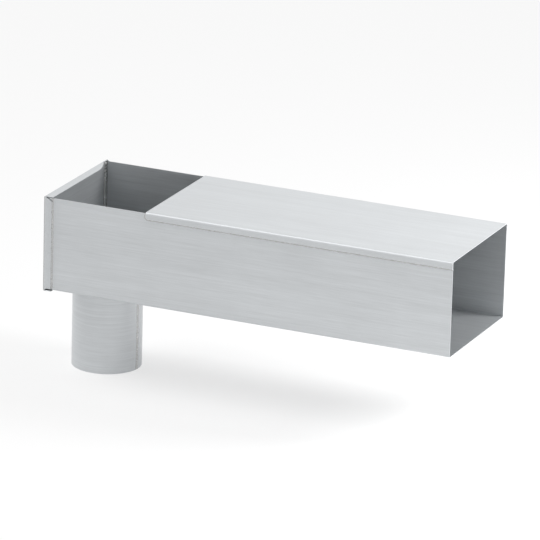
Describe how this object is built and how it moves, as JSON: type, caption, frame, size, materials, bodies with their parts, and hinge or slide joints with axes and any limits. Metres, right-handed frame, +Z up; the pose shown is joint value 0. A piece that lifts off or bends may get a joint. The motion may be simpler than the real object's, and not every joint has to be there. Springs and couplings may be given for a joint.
{
  "type": "eave box",
  "caption": "Long folded sheet-metal drain box for a roof edge, covered over most of its length, open at one end, with a round outlet pipe under its closed end.",
  "frame": {"origin": "centre of the outlet pipe's lower rim, on the pipe's axis", "axes": "+X along the box, from the end cap towards the open mouth; +Z up the outlet pipe, towards the open top; +Y across the box, to the wall that is at the back in the drawing"},
  "size_m": [0.615, 0.1986, 0.2668],
  "materials": {
    "trough_zinc": "bright rolled zinc sheet, satin, grain along the trough",
    "cap_zinc": "bright rolled zinc sheet, satin, grain across the box",
    "cover_zinc": "bright rolled zinc sheet, satin, grain along the cover",
    "pipe_zinc": "bright rolled zinc sheet, satin, grain round the pipe",
    "solder": "tin solder, smooth, a little darker than the zinc"
  },
  "bodies": {
    "root": {"trough": "trough_zinc", "end_cap": "cap_zinc", "cover": "cover_zinc", "outlet_pipe": "pipe_zinc", "inner_solder": "solder", "pipe_seam_solder": "solder", "cap_solder_front": "solder", "cap_solder_back": "solder", "cap_solder_bottom": "solder", "cover_solder_front": "solder", "cover_solder_back": "solder"}
  },
  "joints": []
}
